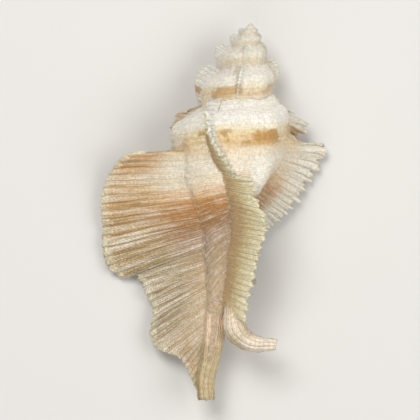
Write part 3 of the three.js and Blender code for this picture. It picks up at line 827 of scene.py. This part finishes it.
    # Grooves between cords get painted grey-brown shade, most on the wings, broken into patches by the
    # specks.
    sway = add(tree, MATH, cloud, 1.2, mark["cord"], operation="MULTIPLY_ADD")
    turn = add(tree, MATH, sway, math.pi / CORD_SPACING, operation="MULTIPLY")
    crest = add(tree, MATH, add(tree, MATH, turn, operation="COSINE"), operation="ABSOLUTE")
    painted_groove_shade = add(tree, "ShaderNodeMapRange", crest,
                 named={"From Min": 0.4, "From Max": 0.0}, interpolation_type="SMOOTHSTEP")
    # Speck mask that breaks the painted groove shade into patches.
    groove_shade_patches = add(tree, "ShaderNodeMapRange", speck, named={"From Min": 0.35, "From Max": 0.55})
    painted_groove_shade = add(tree, MATH, painted_groove_shade, groove_shade_patches, operation="MULTIPLY")
    depth = add(tree, MATH, out_share, 0.55, 0.15, operation="MULTIPLY_ADD")
    painted_groove_shade = add(tree, MATH, painted_groove_shade, depth, operation="MULTIPLY")
    # Painted shade: the grooves between cords are darkened towards grey-brown.
    coat = add(tree, MIX, painted_groove_shade, named={6: coat, 7: "6F5E48"}, data_type="RGBA")

    # Growth lines and threads, drawn about twice as coarse as they grow so that they show.
    lines = add(tree, MATH, flow, 2 * math.pi / GROWTH_LINE, operation="MULTIPLY")
    lines = add(tree, MATH, cloud, 14.0, lines, operation="MULTIPLY_ADD")
    lines = add(tree, MATH, lines, operation="SINE")
    threads = add(tree, MATH, sway, 2 * math.pi / THREAD, operation="MULTIPLY")
    threads = add(tree, MATH, threads, operation="SINE")
    weave = add(tree, MATH, lines, threads, operation="MULTIPLY")
    weave = add(tree, MATH, threads, 0.6, weave, operation="MULTIPLY_ADD")
    tone = add(tree, MATH, weave, 0.035, 0.6, operation="MULTIPLY_ADD")
    tone = add(tree, MATH, speck, 0.9, tone, operation="MULTIPLY_ADD")
    coat = add(tree, "ShaderNodeHueSaturation", named={"Value": tone, "Color": coat})

    height = add(tree, MATH, speck, 0.8, weave, operation="MULTIPLY_ADD")
    bump = add(tree, "ShaderNodeBump", named={"Strength": 0.6, "Distance": 0.00015, "Height": height})
    gloss = add(tree, "ShaderNodeMapRange", mark["glaze"], named={"To Min": 0.5, "To Max": 0.3})
    surface = add(tree, "ShaderNodeBsdfPrincipled", named={
        "Base Color": coat, "Roughness": gloss, "Normal": bump, "IOR": 1.53,
        "Subsurface Weight": 0.15, "Subsurface Radius": (1.0, 0.6, 0.35), "Subsurface Scale": 0.0012})
    add(tree, "ShaderNodeOutputMaterial", surface)
    return material


# ---- the shell -------------------------------------------------------------------------------
def murex_shell():
    """Whorls, varices and canals as one skin, less the hollows, laid down in the frame."""
    material = aragonite()
    spire = whorls(material)
    grown = [
        varix("outer_lip_wing", OUTER_LIP_WING, 230, 50, bow=0.02, flares=(2.0, 1.35),
              jag=lambda t: 0.4 + 0.9 * (t < 0.2),
              curl=lambda t: 3.4 * np.exp(-((t - 0.26) / 0.045) ** 2), fold=0.25),
        varix("middle_varix", MIDDLE_VARIX, 150, 28, bow=0.02, jag=0.95, tooth=2.6, sharp=2),
        varix("right_wing", RIGHT_WING, 180, 34, jag=1.5, tooth=2.5, sharp=2, flares=(1.25, 2.0),
              glaze=0.25, fold=0.15),
        *(old_varix(i, *fin) for i, fin in enumerate(OLD_VARICES)),
        tube("open_canal", OPEN_CANAL, 60, 28),
        tube("old_canal", OLD_CANAL, 50, 24, age=0.24),
        tube("oldest_canal", OLDEST_CANAL, 20, 16, age=0.6)]
    hollows = [aperture(), tube("canal_slit", CANAL_SLIT, 60, 12, glaze=1.0),
               tube("canal_bore", CANAL_BORE, 20, 14, glaze=1.0)]
    memory = remember([spire, *grown, *hollows])
    skin = join_solids(spire, grown, "UNION")
    skin = join_solids(skin, hollows, "DIFFERENCE")
    for piece in [*grown, *hollows]:
        bpy.data.objects.remove(piece)
    soften_joins(skin, mark_skin(skin, memory), JOIN_WIDTH, JOIN_ROUNDS)
    mark_skin(skin, memory)
    skin = run_tree(skin, relief_tree(), {
        "Whorl growth": WHORL_GROWTH, "Cord spacing": CORD_SPACING, **RELIEF,
        "Material": material})
    skin.name = "murex_shell"
    lay_down(skin)
    for polygon in skin.data.polygons:
        polygon.use_smooth = True
    return skin


def lay_down(skin):
    """Turns the shell to lie on its aperture side, in the frame's box, in metres."""
    turn = (Matrix.Rotation(math.radians(REST_ROLL), 4, "Y")
            @ Matrix.Rotation(math.radians(REST_PITCH), 4, "X"))
    skin.data.transform(Matrix.Scale(MM, 4) @ turn)
    places = points_of(skin.data)
    low, high = (np.array(corner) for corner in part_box("shell"))
    shift = (low + high) / 2 - (places.min(0) + places.max(0)) / 2
    shift[2] = low[2] - places[:, 2].min()
    skin.data.transform(Matrix.Translation(Vector(shift)))


# ---- stage -----------------------------------------------------------------------------------
def stage():
    """The floor, the lights, the room's light and the camera."""
    bench = cad_box[0][2]
    bpy.ops.mesh.primitive_plane_add(size=2.0, location=(0, 0, bench))
    floor = bpy.context.object
    floor.name = "floor"
    paper = bpy.data.materials.new("matt_paper")
    paper.use_nodes = True
    surface = paper.node_tree.nodes["Principled BSDF"]
    surface.inputs["Base Color"].default_value = linear("DCDAD6")
    surface.inputs["Roughness"].default_value = 0.9
    floor.data.materials.append(paper)

    for name, place, size, power in (
            ("key_light", (-0.25, 0.35, 0.75), 0.4, 4.5),
            ("fill_light", (0.5, 0.1, 0.6), 0.5, 2.7),
            ("front_light", (0.0, -0.6, 0.45), 0.6, 1.2)):
        lamp = bpy.data.lights.new(name, "AREA")
        lamp.size = size
        lamp.energy = power
        light = bpy.data.objects.new(name, lamp)
        light.location = place
        light.rotation_euler = Vector(place).to_track_quat("Z", "Y").to_euler()
        bpy.context.scene.collection.objects.link(light)

    world = bpy.data.worlds.new("soft_room")
    world.use_nodes = True
    world.node_tree.nodes["Background"].inputs["Color"].default_value = linear("F4F2EE")
    world.node_tree.nodes["Background"].inputs["Strength"].default_value = 0.3
    bpy.context.scene.world = world
    bpy.context.scene.view_settings.view_transform = "Standard"

    camera = bpy.data.cameras.new("camera")
    camera.lens = SENSOR_WIDTH * CAMERA_HEIGHT / VIEW_WIDTH
    eye = bpy.data.objects.new("camera", camera)
    eye.location = (VIEW_CENTRE[0], VIEW_CENTRE[1], CAMERA_HEIGHT)
    eye.rotation_euler = (0, 0, math.radians(VIEW_ROLL))
    bpy.context.scene.collection.objects.link(eye)
    bpy.context.scene.camera = eye


shell = murex_shell()
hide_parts("shell")
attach(shell, "root")
stage()
